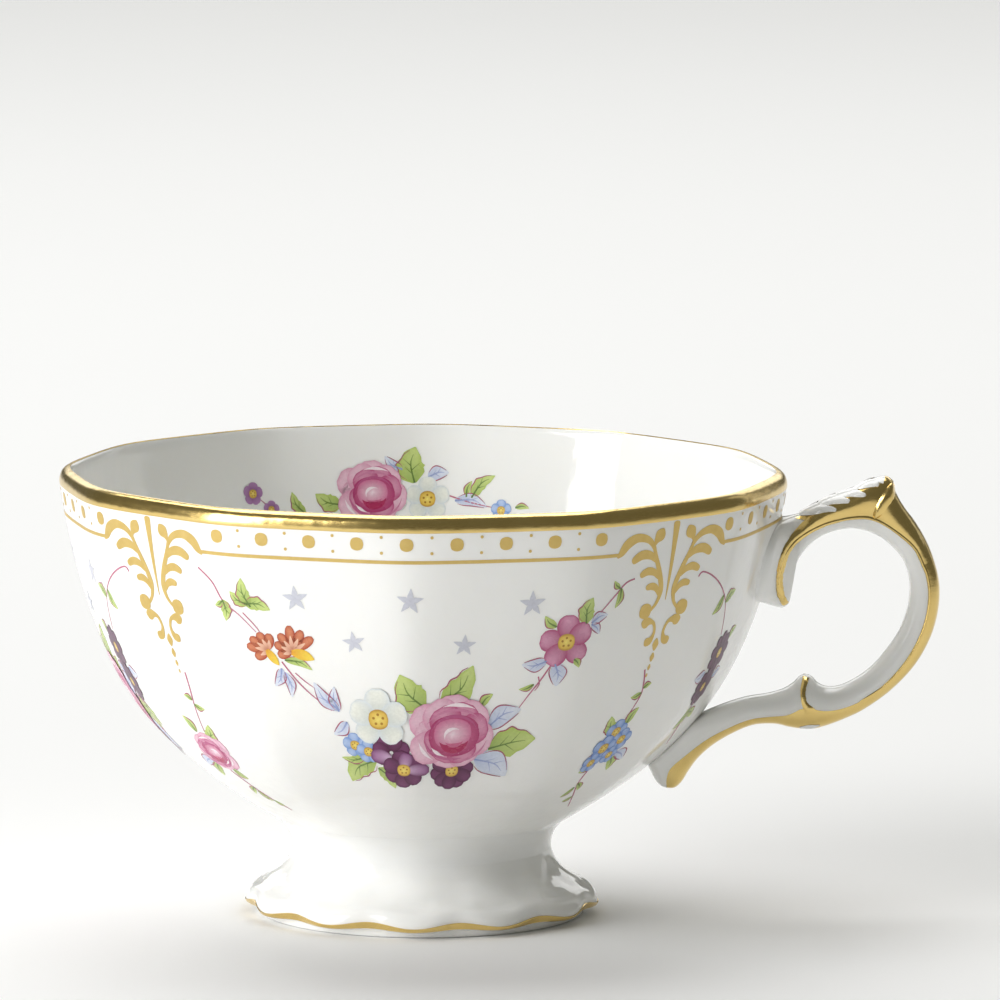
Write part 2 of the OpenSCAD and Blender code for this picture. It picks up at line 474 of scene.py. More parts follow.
def foot_line(around, up):
    turn = around * math.tau
    radius, height = between(foot_line_profile, up * (len(foot_line_profile) - 1))
    radius += foot_line_lift - foot_lobes(turn, height)
    height -= foot_dip(turn, height)
    return Vector((radius * math.sin(turn), -radius * math.cos(turn), height))


foot_gold = sheet("foot_gilding_line", 240, 6, foot_line)
gilded(foot_gold)
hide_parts("foot_gilding")
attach(foot_gold, "root")

# How far across each side the gold reaches from the handle's outer edge, station by station.
border_start = 12
border = [0.70, 0.72, 0.71, 0.66, 0.57, 0.46, 0.36, 0.33, 0.32, 0.31, 0.30, 0.30, 0.31, 0.34, 0.38,
          0.42, 0.43, 0.43, 0.42, 0.42, 0.40, 0.36, 0.31, 0.28, 0.27, 0.29, 0.34, 0.42, 0.5, 0.5, 0.5]
band_start, band_end, band_lift = 13.2, last_station - 0.3, 0.05


def on_handle(place, across, proud, side):
    """A point on the handle: its station, how far across from outer edge (0) to inner (1), and side."""
    middle, reach, depth = chord(place)
    along = 1 - 2 * min(max(across, 0), 1)
    out = max(1 - abs(along) ** section_squareness, 0) ** (1 / section_squareness)
    point = middle + reach * along * (1 + proud / max(reach.length, 0.4))
    return settled(point + Vector((0, side * out * (depth + proud), 0)), proud)


def handle_band(along, around):
    """The gold from the spur to the lower tip, wrapped over the outer edge on to both sides."""
    place = band_start + (band_end - band_start) * along
    side = 2 * around - 1
    width = between([(part,) for part in border], place - border_start)[0]
    return on_handle(place, side ** 2 * width, band_lift, math.copysign(1, side))


handle_gold = sheet("handle_gilding_band", 150, 24, handle_band)
gilded(handle_gold)
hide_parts("handle_gilding")
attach(handle_gold, "root")

# The printed gold: a frieze of dots between the lip and a fine line, with a feathered scroll
# hanging near each quarter. It is transferred over the glaze in one pull and fired to a satin gold.
class Skin:
    """One face of the bowl, unrolled so that it can be drawn on in mm across and up."""

    def __init__(self, profile, outward):
        self.profile, self.outward, self.walk = profile, outward, [0.0]
        for low, high in zip(profile, profile[1:]):
            self.walk.append(self.walk[-1] + math.dist(low, high))

    def spot(self, degrees, height):
        """The turn, the walk up the wall and the radius at a place on the bowl."""
        step = bisect([point[1] for point in self.profile], height)
        step = min(max(step, 1), len(self.walk) - 1)
        (low_r, low_z), (high_r, high_z) = self.profile[step - 1], self.profile[step]
        part = (height - low_z) / (high_z - low_z)
        walk = self.walk[step - 1] + part * (self.walk[step] - self.walk[step - 1])
        return math.radians(degrees), walk, low_r + part * (high_r - low_r)

    def point(self, spot, right, up, lift):
        """The point in mm that lies right of and up from a spot, lifted off the glaze."""
        turn, walk, radius = spot
        walk += up
        turn += self.outward * right / radius
        step = min(max(bisect(self.walk, walk), 1), len(self.walk) - 1)
        (low_r, low_z), (high_r, high_z) = self.profile[step - 1], self.profile[step]
        span = self.walk[step] - self.walk[step - 1]
        part = (walk - self.walk[step - 1]) / span
        height = low_z + part * (high_z - low_z)
        out = self.outward * lift / span
        radius = low_r + part * (high_r - low_r) - flute(turn, height) + out * (high_z - low_z)
        height -= out * (high_r - low_r)
        return Vector((radius * math.sin(turn), -radius * math.cos(turn), height))


def ink(code):
    """An enamel colour from its six-letter code."""
    return Vector([(int(code[k:k + 2], 16) / 255) ** 2.2 for k in (0, 2, 4)])


def wash(root, tip, edge=None, rim=3):
    """Shading of a stroke from its root to its tip, with a different tone along its edge."""
    def shade(along, across):
        colour = ink(root).lerp(ink(tip), along ** 0.7)
        if edge:
            near_edge = max(abs(2 * across - 1) ** rim, max(2 * along - 1, 0) ** (rim + 2))
            colour = colour.lerp(ink(edge), near_edge)
        return colour
    return shade


class Spray:
    """A drawing on the bowl, in mm right of and up from one spot, each stroke over the last."""

    strokes = {}
    first_lift, layer_lift, finest = 0.045, 0.006, 0.03

    def __init__(self, skin, degrees, height, tall=1.0, flip=1):
        self.skin, self.tall, self.flip, self.layers = skin, tall, flip, 0
        self.spot = skin.spot(degrees, height)

    def blade(self, enamel, spine, widths, shade, steps=10, rows=4, over=0, dome=0, blunt=False):
        """One stroke of the brush along a spine, as wide in mm as its list of widths says."""
        lift = self.first_lift + self.layer_lift * (self.layers + over)
        tones, breadths = [], [(width,) for width in widths]
        length = sum(math.dist(a, b) for a, b in zip(spine, spine[1:]))

        def place(along, across):
            if blunt:
                along = 0.5 - 0.5 * math.cos(math.pi * along)
            spot = along * (len(spine) - 1)
            here = Vector(between(spine, spot))
            way = Vector(between(spine, spot + 0.03)) - Vector(between(spine, spot - 0.03))
            way.normalize()
            wide = max(between(breadths, along * (len(breadths) - 1))[0], self.finest)
            to_end = length * min(along, 1 - along)
            if blunt and to_end < wide / 2:
                wide = max(math.sqrt(max(wide ** 2 - (wide - 2 * to_end) ** 2, 0)), self.finest)
            off = (across - 0.5) * wide * self.flip
            tones.append(shade(along, across))
            right, up = here.x - way.y * off, here.y + way.x * off
            swell = dome * math.sin(math.pi * across) * min(1, 10 * along, 10 * (1 - along))
            return self.skin.point(self.spot, self.flip * right, self.tall * up, lift + swell)

        stroke = sheet("stroke", steps, rows, place)
        tone = stroke.data.color_attributes.new("tone", "FLOAT_COLOR", "POINT")
        tone.data.foreach_set("color", [part for one in tones for part in (*one, 1)])
        self.strokes.setdefault(enamel, []).append(stroke)

    def dot(self, enamel, centre, radius, shade, high=1.0, over=0):
        """A round spot of colour, shaded from its middle to its edge."""
        x, y = centre
        spine = [(x - radius, y), (x, y), (x + radius, y)]
        round_edge = [2 * radius * high * math.sqrt(max(1 - (k / 6 - 1) ** 2, 0)) for k in range(13)]
        round_edge[0] = round_edge[-1] = 0.2 * radius

        def rings(along, across):
            wide = math.sqrt(max(1 - (2 * along - 1) ** 2, 0))
            return shade(min(math.hypot(2 * along - 1, (2 * across - 1) * wide), 1), 0.5)

        self.blade(enamel, spine, round_edge, rings, 12, 6, over)


def gathered(name, finishes):
    """Joins the strokes of each enamel into one thin fired layer."""
    pieces = []
    for enamel, strokes in Spray.strokes.items():
        start_clean()
        for stroke in strokes:
            stroke.select_set(True)
        bpy.context.view_layer.objects.active = strokes[0]
        bpy.ops.object.join()
        piece = bpy.context.object
        piece.name = name + "_" + enamel
        layer = piece.modifiers.new("layer", "SOLIDIFY")
        layer.thickness, layer.offset = 0.03 * mm, -1
        bpy.ops.object.modifier_apply(modifier="layer")
        bpy.ops.object.shade_smooth_by_angle(angle=math.radians(60))
        piece.data.materials.append(finishes[enamel].material)
        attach(piece, "root")
        pieces.append(piece)
    Spray.strokes.clear()
    return pieces


def moved_round(piece, name, degrees):
    """A copy of a piece, turned about the cup's axis, that keeps its place in the record."""
    start_clean()
    piece.select_set(True)
    bpy.context.view_layer.objects.active = piece
    bpy.ops.object.duplicate()
    copy = bpy.context.object
    copy.data.transform(Matrix.Rotation(math.radians(degrees), 4, "Z"))
    copy.name = name
    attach(copy, "root")
    return copy


outer_skin = Skin(wall, 1)
inner_skin = Skin(inside, -1)
printed = Finish("printed_gold")
printed_tone = printed.blend(printed.noise(0.0012, 3), (0.62, 0.43, 0.12, 1), (0.74, 0.55, 0.2, 1))
printed.set(Base_Color=printed_tone, Metallic=0.55, Roughness=printed.noise(0.003) * 0.15 + 0.38,
            Normal=printed.bump(printed.noise(0.0008), 0.00003))
finishes = {"printed_gold": printed}
plain = wash("d8b45c", "d8b45c")


def golden(drawing, spine, *widths, steps=18, blunt=True):
    drawing.blade("printed_gold", spine, widths, plain, steps, blunt=blunt)


def printed_dot(degrees, height, radius):
    Spray(outer_skin, degrees, height).dot("printed_gold", (0, 0), radius, plain)


def half_scroll(degrees, side):
    """One side of a scroll: the arm over the frieze's end, the stalk, a bud, three leaves, a curl."""
    scroll = Spray(outer_skin, degrees, line_height + 0.1, flip=side)
    golden(scroll, [(3.4, -0.9), (3.9, 0.5), (5.2, 1.7), (7.2, 2.1), (8.9, 1.4), (9.9, 0.2),
                    (10.6, -0.5)], 0.4, 0.7, 1.0, 1.3, 1.5, 1.1, 0.25, steps=38, blunt=False)
    scroll.layers = 1
    golden(scroll, [(3.9, 0.7), (3.2, -1.1), (2.3, -3.0), (1.6, -4.8), (1.3, -6.3), (1.8, -8.0),
                    (3.0, -9.2)], 0.45, 0.7, 0.85, 0.9, 0.8, 0.55, 0.5, steps=32, blunt=False)
    scroll.layers = 2
    golden(scroll, [(3.9, 0.6), (3.5, 1.5), (2.9, 2.3), (2.4, 3.1)], 0.35, 0.6, 1.4, 1.9, 1.5, 0.3)
    golden(scroll, [(2.9, -1.8), (4.3, -0.7), (6.1, -0.5), (7.8, -1.4)], 0.4, 0.9, 1.25, 1.4, 1.3, 0.9)
    golden(scroll, [(2.0, -4.3), (3.1, -3.3), (4.5, -3.0), (5.9, -3.6)], 0.4, 0.8, 1.05, 1.2, 1.1, 0.8)
    golden(scroll, [(1.5, -6.9), (2.2, -5.8), (3.2, -5.3), (4.4, -5.5)], 0.35, 0.7, 0.95, 1.1, 1.0, 0.7)
    scroll.dot("printed_gold", (3.7, -9.0), 1.15, plain, over=1)
    golden(scroll, [(3.8, -11.3), (2.8, -10.7), (1.5, -11.0), (0.95, -12.4), (1.5, -13.7),
                    (2.6, -13.9)], 1.4, 1.6, 0.7, 0.5, 0.6, 1.3, 1.2, steps=28)


def spear_and_drops(degrees):
    """The spear between the two sides of a scroll, and the drops that hang below them."""
    spear = Spray(outer_skin, degrees, line_height + 0.1)
    golden(spear, [(0, 4.0), (0, 0), (0, -4), (0, -7.6)], 1.25, 0.8, 0.5, 0.12)
    for height, size in ((-14.4, 0.62), (-16.4, 0.45), (-18.0, 0.3), (-19.3, 0.2)):
        golden(spear, [(0, height + 1.6 * size), (0, height), (0, height - 1.6 * size)],
               0.2, 1.3 * size, 2.0 * size, 1.3 * size, 0.2, blunt=False)


scroll_turn, line_height, line_gap = 46.4, 57.6, 11.3
dots_per_panel, dot_step, dot_height = 9, 7.8, 60.1
for quarter in range(4):
    middle = 90 * quarter
    for place in range(dots_per_panel):
        turn = middle + (place - dots_per_panel // 2) * dot_step
        printed_dot(turn, dot_height, 0.95)
        if place < dots_per_panel - 1:
            for height in (dot_height + 1.05, dot_height - 1.2):
                printed_dot(turn + dot_step / 2, height, 0.22)
    scroll_at = middle + (scroll_turn if quarter % 2 == 0 else 90 - scroll_turn)
    for half in (-1, 1):
        reach = (abs(scroll_at - middle) - line_gap) * half
        line = Spray(outer_skin, middle + reach / 2, line_height)
        span = math.radians(abs(reach)) * 52 / 2
        golden(line, [(-span, 0), (-span / 2, 0), (0, 0), (span / 2, 0), (span, 0)], 0.5, 0.5,
               steps=32, blunt=False)
    for side in (-1, 1):
        half_scroll(scroll_at, side)
    spear_and_drops(scroll_at)
gathered("frieze_and_scrolls", finishes)


# The handle's brushed gold: a band fills each side of the arch from the hook to the spur, between
# four white tongues moulded on its top and a fine raised bead. A bar of gold crosses the bump.
class Side:
    """One side of the handle, drawn on in its own mm across and up."""

    def __init__(self):
        self.chords = [(k / 12, between(handle_stations, k / 12)) for k in range(12 * last_station + 1)]

    def spot(self, side, height):
        return side

    def point(self, side, right, up, lift):
        nearest = (1e9, 0, 0)
        for place, (outer_x, outer_z, inner_x, inner_z, _) in self.chords:
            run_x, run_z = inner_x - outer_x, inner_z - outer_z
            part = (side * right - outer_x) * run_x + (up - outer_z) * run_z
            part = min(max(part / (run_x ** 2 + run_z ** 2), 0), 1)
            miss = math.hypot(outer_x + part * run_x - side * right, outer_z + part * run_z - up)
            if miss < nearest[0]:
                nearest = (miss, place, part)
        return on_handle(nearest[1], nearest[2], lift, -side)


finishes["burnished_gold"], finishes["china"] = gold, china
white = wash("ffffff", "ffffff")
lower_edge = [(52.0, 45.2), (51.3, 46.9), (51.1, 49.3), (51.5, 51.1), (52.3, 53.2), (54.3, 55.2),
              (57.8, 57.0), (61.9, 57.9), (64.6, 57.6), (67.3, 56.1), (70.1, 53.7), (71.4, 51.2)]
upper_edge = [(51.4, 45.3), (50.7, 47.0), (50.6, 49.4), (50.9, 51.5), (51.8, 54.0), (53.8, 56.6),
              (57.4, 59.5), (61.3, 61.3), (65.0, 62.8), (67.6, 60.2), (71.0, 55.0), (72.6, 51.6)]
ring_edge = [(72.1, 49.3), (72.4, 46.6), (72.0, 43.5), (70.9, 40.3), (68.9, 36.9), (66.0, 33.7),
             (62.6, 31.4)]
arch_line = [((a + c) / 2, (b + d) / 2) for (a, b), (c, d) in zip(lower_edge, upper_edge)]
arch_widths = [math.dist(a, b) for a, b in zip(lower_edge, upper_edge)]
tongues = (((53.6, 58.4), (59.2, 58.9), 1.3), ((56.2, 59.9), (60.9, 60.1), 1.2),
           ((58.6, 61.0), (63.2, 61.0), 1.1), ((61.0, 62.0), (65.0, 62.5), 1.1))


def raised_gold(drawing, spine, *widths, **sizes):
    drawing.blade("burnished_gold", spine, widths, plain, **sizes)


for side in (1, -1):
    relief = Spray(Side(), side, 0, flip=side)
    raised_gold(relief, arch_line, *arch_widths, steps=90, rows=12, dome=0.24)
    raised_gold(relief, [(53.2, 57.6), (54.8, 57.7), (56.8, 58.0)], 0.05, 0.7, 1.1, steps=14, over=3)
    raised_gold(relief, [(64.4, 57.8), (65.4, 59.4), (66.5, 61.2), (66.8, 62.6)], 0.3, 1.7, 2.1, 1.5,
                0.3, steps=20, rows=10, over=14, dome=0.42)
    raised_gold(relief, lower_edge + ring_edge, 0.9, 0.8, 0.6, 0.5, 0.45, 0.4, 0.35, 0.2,
                steps=170, rows=5, over=3, dome=0.2)
    raised_gold(relief, [(55.6, 29.8), (54.7, 31.2), (54.5, 33.0), (54.9, 34.6)], 1.6, 0.8, 0.8, 0.9,
                steps=18, rows=5, over=3, dome=0.12)
    for root, tip, wide in tongues:
        ridge = [root, ((root[0] + tip[0]) / 2, (root[1] + tip[1]) / 2 + 0.25), tip]
        swell = [wide * part for part in (0.9, 1.1, 1, 0.75, 0.5)]
        relief.blade("china", ridge, swell, white, 20, 6, over=28, dome=0.12, blunt=True)
    relief.blade("china", [(54.0, 27.5), (55.4, 27.5), (57.0, 27.9)], (0.1, 0.8, 0.1), white,
                 over=8, dome=0.1)
gathered("handle_relief", finishes)

# The flowers: sprays drawn for this cup and printed over the glaze in soft enamels, one colour
# at a time, then touched in by hand. Each enamel is its own thin layer.
for name, gloss in (("rose_enamel", 0.22), ("leaf_enamel", 0.24), ("blue_enamel", 0.24),
                    ("lilac_enamel", 0.3), ("plum_enamel", 0.28), ("yellow_enamel", 0.26)):
    enamel = Finish(name)
    tone = enamel.node("ShaderNodeAttribute", {"attribute_name": "tone"})
    stipple = enamel.blend(enamel.noise(0.0004, 3), (0.86, 0.86, 0.86, 1), (1.1, 1.1, 1.1, 1))
    enamel.set(Base_Color=enamel.blend(1.0, tone, stipple, "MULTIPLY"), IOR=1.5,
               Roughness=enamel.noise(0.002) * 0.1 + gloss,
               Normal=enamel.bump(enamel.noise(0.0006), 0.00002))
    finishes[name] = enamel
fine_pink = wash("bd6a84", "c27a92")


def stem(drawing, *points, width=0.21, shade=fine_pink, enamel="rose_enamel"):
    drawing.blade(enamel, points, (width, width, 0.5 * width), shade, 6 * len(points), 1)


def leaf(drawing, base, tip, width, kind="leaf_enamel", bend=0.12):
    """A leaf with a toothed edge, a vein and half an outline in fine red."""
    ground = drawing.layers
    green = kind == "leaf_enamel"
    base, tip = Vector(base), Vector(tip)
    way = tip - base
    side = Vector((-way.y, way.x))
    middle = (base + tip) / 2 + side * bend
    spine = [tuple(base), tuple(middle), tuple(tip)]
    swell = [0.12, 0.55, 0.85, 1.0, 0.98, 0.84, 0.6, 0.33, 0.04]
    if green and width > 1.3:
        swell = [part * (1.0 + 0.09 * (-1) ** k) for k, part in enumerate(swell)]
    shade = wash("8fab55", "d3e18e", "b5ca68") if green else wash("b0bcde", "e9edf7", "d3daec")
    drawing.blade(kind, spine, [width * part for part in swell], shade, 16, 6)
    drawing.layers += 1
    dark = wash("566f3c", "8aa653") if green else wash("8b9acb", "b3bddf")
    drawing.blade(kind, [tuple(base), tuple(middle), tuple(middle.lerp(tip, 0.6))], (0.26, 0.2, 0.06),
                  dark, 8, 1)
    if way.length > 3:
        for part, turn in ((0.3, 1), (0.45, -1), (0.6, 1)):
            start = base.lerp(middle, part * 1.6)
            finish = start + way * 0.2 + side.normalized() * width * 0.3 * turn
            drawing.blade(kind, [tuple(start), tuple(finish)], (0.14, 0.05), dark, 4, 1)
    for turn in ((1,) if green else (1, -1)):
        outline = []
        for k in range(1, 8):
            spot = Vector(between(spine, k / 4))
            outline.append(tuple(spot + side.normalized() * turn * 0.52 * width * swell[k]))
        drawing.blade("rose_enamel", outline, (0.04, 0.14, 0.17, 0.14, 0.06),
                      wash("b4586a", "a2607a"), 14, 1)
    drawing.layers = ground


def leaves(drawing, places, kind="leaf_enamel"):
    for base, tip, width in places:
        leaf(drawing, base, tip, width, kind)


def petal(drawing, enamel, centre, angle, reach, width, shade, over=0):
    """A round-ended petal that leaves the centre at an angle in degrees."""
    way = Vector((math.cos(math.radians(angle)), math.sin(math.radians(angle))))
    centre = Vector(centre)
    spine = [tuple(centre + way * reach * part) for part in (0.1, 0.55, 1.0)]
    drawing.blade(enamel, spine, [width * part for part in (0.3, 0.62, 0.88, 1.0, 0.96, 0.78, 0.34)],
                  shade, 12, 8, over)


five_petals = range(20, 380, 72)


def blossom(drawing, enamel, centre, reach, angles, shade, heart=0.4, width=0.95):
    """An open flower: a ring of petals about a yellow heart with dark stamens."""
    for number, angle in enumerate(angles):
        petal(drawing, enamel, centre, angle, reach, reach * width, shade, 0.5 * (number % 3))
    drawing.dot("yellow_enamel", centre, reach * heart, wash("f4e27c", "e0b64a", "b98838"), over=2)
    for angle in five_petals:
        away = math.radians(angle)
        spot = (centre[0] + 0.5 * reach * heart * math.cos(away),
                centre[1] + 0.5 * reach * heart * math.sin(away))
        drawing.dot("yellow_enamel", spot, reach * heart * 0.14, wash("9a6a28", "b98a34"), over=3)
    drawing.layers += 3


forget_me_not = wash("7d9fda", "c3d5f2", "6f94d4", 2)
primula = (90, 160, 18, 226, 312), wash("bcc6c6", "fafaee", "dce3e6", 3)
rose_squash = 0.84


def rose_fold(drawing, centre, radius, first, last, width, tone, steps, over):
    """A fine curved line inside a rose, along part of a ring given by its angles in degrees."""
    angles = [math.radians(first + (last - first) * k / 6) for k in range(7)]
    fold = [(centre[0] + radius * math.cos(angle), centre[1] + radius * rose_squash * math.sin(angle))
            for angle in angles]
    drawing.blade("rose_enamel", fold, width, wash(tone, tone), steps, 2, over)


def rose(drawing, centre, radius):
    """A full rose: pale outer petals, a deeper cup and a light globe with crimson folds."""
    ground, rose_ink = drawing.layers, "rose_enamel"
    outer = ((152, 1.18), (205, 1.16), (96, 1.0), (48, 0.98), (252, 0.88), (304, 0.88), (352, 1.0),
             (125, 1.0), (180, 0.98))
    for number, (angle, reach) in enumerate(outer):
        petal(drawing, rose_ink, centre, angle, radius * reach, radius * 0.9,
              wash("c4668f", "f4d2e0", "dd9cb8", 2.4), 0.5 * (number % 4))
    drawing.layers = ground + 2
    cup = ((70, 0.84), (120, 0.8), (20, 0.86), (200, 0.76), (245, 0.74), (300, 0.76))
    for number, (angle, reach) in enumerate(cup):
        petal(drawing, rose_ink, centre, angle, radius * reach, radius * 0.8,
              wash("b04470", "e3a4c0", "bb5280", 2), 0.5 * (number % 3))
    drawing.layers = ground + 4
    x, y = centre
    drawing.dot(rose_ink, centre, radius * 0.64, wash("dd86a8", "b04070"), rose_squash)
    drawing.dot(rose_ink, (x - 0.04 * radius, y + 0.06 * radius), radius * 0.47,
                wash("f9e3ec", "cf7299"), 0.82, over=1)
    for inner, first, last, width, tone in (
            (0.4, 205, 340, 0.2, "b0345e"), (0.28, 220, 330, 0.1, "cc6a8e"),
            (0.6, 20, 165, 0.07, "b95a86"), (0.78, 35, 150, 0.06, "cf82a4"),
            (0.74, 190, 290, 0.07, "c06690"), (0.86, 280, 350, 0.05, "cf82a4")):
        rose_fold(drawing, centre, radius * inner, first, last,
                  (0.02, radius * width, radius * width, 0.02), tone, 14, 2)
    for inner, first, last in ((0.92, 60, 110), (0.9, 190, 235), (0.24, 60, 200), (0.66, 210, 250)):
        rose_fold(drawing, centre, radius * inner, first, last, (0.02, radius * 0.09, 0.02),
                  "fbeaf1", 10, 2.5)
    drawing.layers = ground + 7


def bouquet(skin, degrees, height, tall):
    """The big spray: a rose with a pale primula, plum primulas, forget-me-nots and leaves."""
    spray = Spray(skin, degrees, height, tall)
    leaf(spray, (0.0, 4.0), (-3.2, 8.2), 3.9)
    leaf(spray, (2.0, 4.4), (6.0, 9.2), 3.3, bend=-0.12)
    leaf(spray, (9.4, -2.0), (16.1, -0.7), 4.3, bend=0.03)
    leaf(spray, (-7.4, -3.8), (-12.2, -7.6), 3.6, bend=-0.15)
    leaf(spray, (-7.2, -5.0), (-4.9, -8.7), 2.2)
    leaf(spray, (-8.9, -3.3), (-12.7, -3.5), 1.2)
    leaf(spray, (7.4, 4.0), (8.9, 5.6), 1.2)
    spray.layers = 2
    leaves(spray, (((8.8, 1.2), (13.0, 3.5), 2.7), ((7.6, -3.6), (13.4, -6.6), 3.8),
                   ((-11.6, 3.4), (-14.6, 6.8), 1.7), ((-11.7, 3.2), (-11.9, 6.4), 1.4),
                   ((-10.8, 1.8), (-13.0, 0.0), 1.6)), "lilac_enamel")
    for centre in ((-10.2, -1.5), (-8.3, -2.4)):
        blossom(spray, "blue_enamel", centre, 1.8, five_petals, forget_me_not)
    plum = wash("4a1639", "7f426f", "511d41", 2)
    pale_plum = wash("d9bcd8", "9a5f93", "6a2f5c", 2)
    for angle, over in ((20, 0), (70, 1), (120, 0), (165, 0.5), (210, 1)):
        petal(spray, "plum_enamel", (-4.9, -2.4), angle, 2.8, 2.3, plum, over)
    petal(spray, "plum_enamel", (-4.6, -3.2), 175, 3.4, 2.4, pale_plum, 1.5)
    spray.layers += 3
    blossom(spray, "plum_enamel", (4.3, -5.4), 3.4, (10, 60, 150, 192, 228, 264, 300, 335), plum, 0.3, 0.7)
    blossom(spray, "plum_enamel", (-3.2, -5.2), 3.2, (40, 100, 160, 208, 262, 316), plum, 0.32, 0.86)
    for centre, angle, reach in (((-3.2, -5.2), 78, 2.9), ((-3.2, -5.2), 2, 3.9)):
        petal(spray, "plum_enamel", centre, angle, reach, 2.2, pale_plum, -1.5)
    spray.layers += 1
    blossom(spray, "lilac_enamel", (-6.3, 2.4), 4.0, *primula, 0.34, 0.86)
    rose(spray, (4.1, 0.1), 5.6)


def swag_of_orange(skin, degrees, height):
    swag = Spray(skin, degrees, height, 1.05)
    stem(swag, (-11.6, 10.1), (-9.4, 8.3), (-7.9, 5.7), (-5.6, 3.9), (-3.4, 1.6))
    stem(swag, (-0.2, -2.6), (1.7, -5.4), (3.6, -7.5), (6.4, -9.9))
    stem(swag, (-5.0, 4.3), (-3.4, 2.5), (-2.8, 1.5), width=0.16)
    stem(swag, (1.6, -4.2), (2.9, -5.4), (4.1, -6.3), width=0.16)
    leaves(swag, (((-3.7, 5.2), (-4.7, 9.2), 1.9), ((-4.6, 5.6), (-0.9, 4.9), 1.9),
                  ((-4.1, 5.5), (-6.6, 7.2), 1.5), ((-8.0, 5.9), (-7.9, 2.9), 1.7),
                  ((-8.1, 5.7), (-9.4, 5.0), 0.9), ((0.3, -2.3), (4.3, -3.6), 1.3)))
    leaves(swag, (((-0.4, -3.6), (-1.9, -6.4), 1.5), ((0.0, -4.2), (0.4, -8.0), 1.4)), "lilac_enamel")
    for centre, petals in (((-1.8, -1.0), ((172, 3.4), (148, 3.2), (118, 2.9), (84, 2.5), (208, 2.6))),
                           ((1.7, -1.0), ((158, 2.8), (125, 3.1), (92, 3.8), (62, 3.6), (34, 3.9),
                                          (196, 2.4)))):
        for angle, reach in petals:
            petal(swag, "rose_enamel", centre, angle, reach, 1.5, wash("a8452e", "dd8f68", "a63e2a", 2))
            way = math.radians(angle)
            far = (centre[0] + 0.62 * reach * math.cos(way), centre[1] + 0.62 * reach * math.sin(way))
            swag.blade("rose_enamel", [centre, far], (0.1, 0.6, 0.1), wash("c05a3a", "f3cbae"), 8, 2, 1)
    swag.layers += 2
    amber = wash("e0902c", "f7df52", "e9b93a")
    swag.blade("yellow_enamel", [(-2.2, -0.9), (-1.5, -2.0), (-0.7, -3.1)], (0.5, 1.2, 1.1, 0.2), amber)
    swag.blade("yellow_enamel", [(1.5, -1.1), (3.2, -1.4), (4.8, -2.0)], (0.7, 1.5, 1.4, 0.2), amber)


def swag_of_magenta(skin, degrees, height):
    swag = Spray(skin, degrees, height, 1.05)
    stem(swag, (9.9, 8.3), (8.4, 7.8), (6.9, 6.3), (5.1, 4.4), (3.4, 2.6))
    stem(swag, (-1.8, -3.4), (-3.0, -5.6), (-4.4, -7.8), (-5.9, -10.4))
    stem(swag, (-3.4, -5.0), (-3.1, -6.2), (-3.6, -7.2), width=0.18)
    leaves(swag, (((2.6, 2.5), (3.2, 6.2), 2.4), ((-1.7, 2.3), (-3.5, 3.9), 1.3),
                  ((1.6, -2.6), (2.6, -3.9), 1.1), ((-3.9, -6.2), (-6.1, -6.9), 0.8),
                  ((7.5, 7.2), (6.4, 8.3), 0.9), ((7.7, 7.2), (7.1, 4.4), 1.1)))
    leaves(swag, (((3.5, 2.6), (6.0, 3.6), 1.5), ((3.5, 2.4), (5.0, 0.9), 1.2),
                  ((-2.5, -2.7), (-6.1, -3.1), 1.9), ((-1.2, -3.2), (-0.5, -6.6), 2.5)), "lilac_enamel")
    blossom(swag, "rose_enamel", (0, 0), 3.9, (173, 90, 30, 318, 236),
            wash("9a3864", "e6a9c6", "b04c78", 2.2), 0.32, 0.84)


def swag_of_plum(skin, degrees, height, side):
    swag = Spray(skin, degrees, height, 1.05, side)
    stem(swag, (-11.6, 12.6), (-10.8, 13.2), (-8.4, 12.2), (-5.8, 10.2), (-3.4, 7.4), (-1.6, 3.0))
    stem(swag, (0.4, -7.4), (0.0, -10.4), (1.2, -13.4), (3.2, -15.8))
    leaves(swag, (((-4.9, 9.2), (-6.8, 6.6), 1.2), ((-3.9, 8.0), (-0.9, 9.4), 1.5),
                  ((0.4, -8.6), (-1.8, -12.2), 1.9), ((0.4, -9.4), (3.8, -10.8), 1.7),
                  ((2.6, 1.8), (4.9, 3.4), 1.4)))
    leaves(swag, (((-2.4, -2.6), (-5.2, -3.4), 1.8), ((2.8, -4.0), (5.2, -3.0), 1.5)), "lilac_enamel")
    swag.layers = 2
    for centre, reach in (((0.6, 0), 3.3), ((0.0, -5.2), 3.0)):
        blossom(swag, "plum_enamel", centre, reach, range(12, 372, 40),
                wash("3a1030", "6f3a64", "451a3a", 2), 0.24, 0.58)


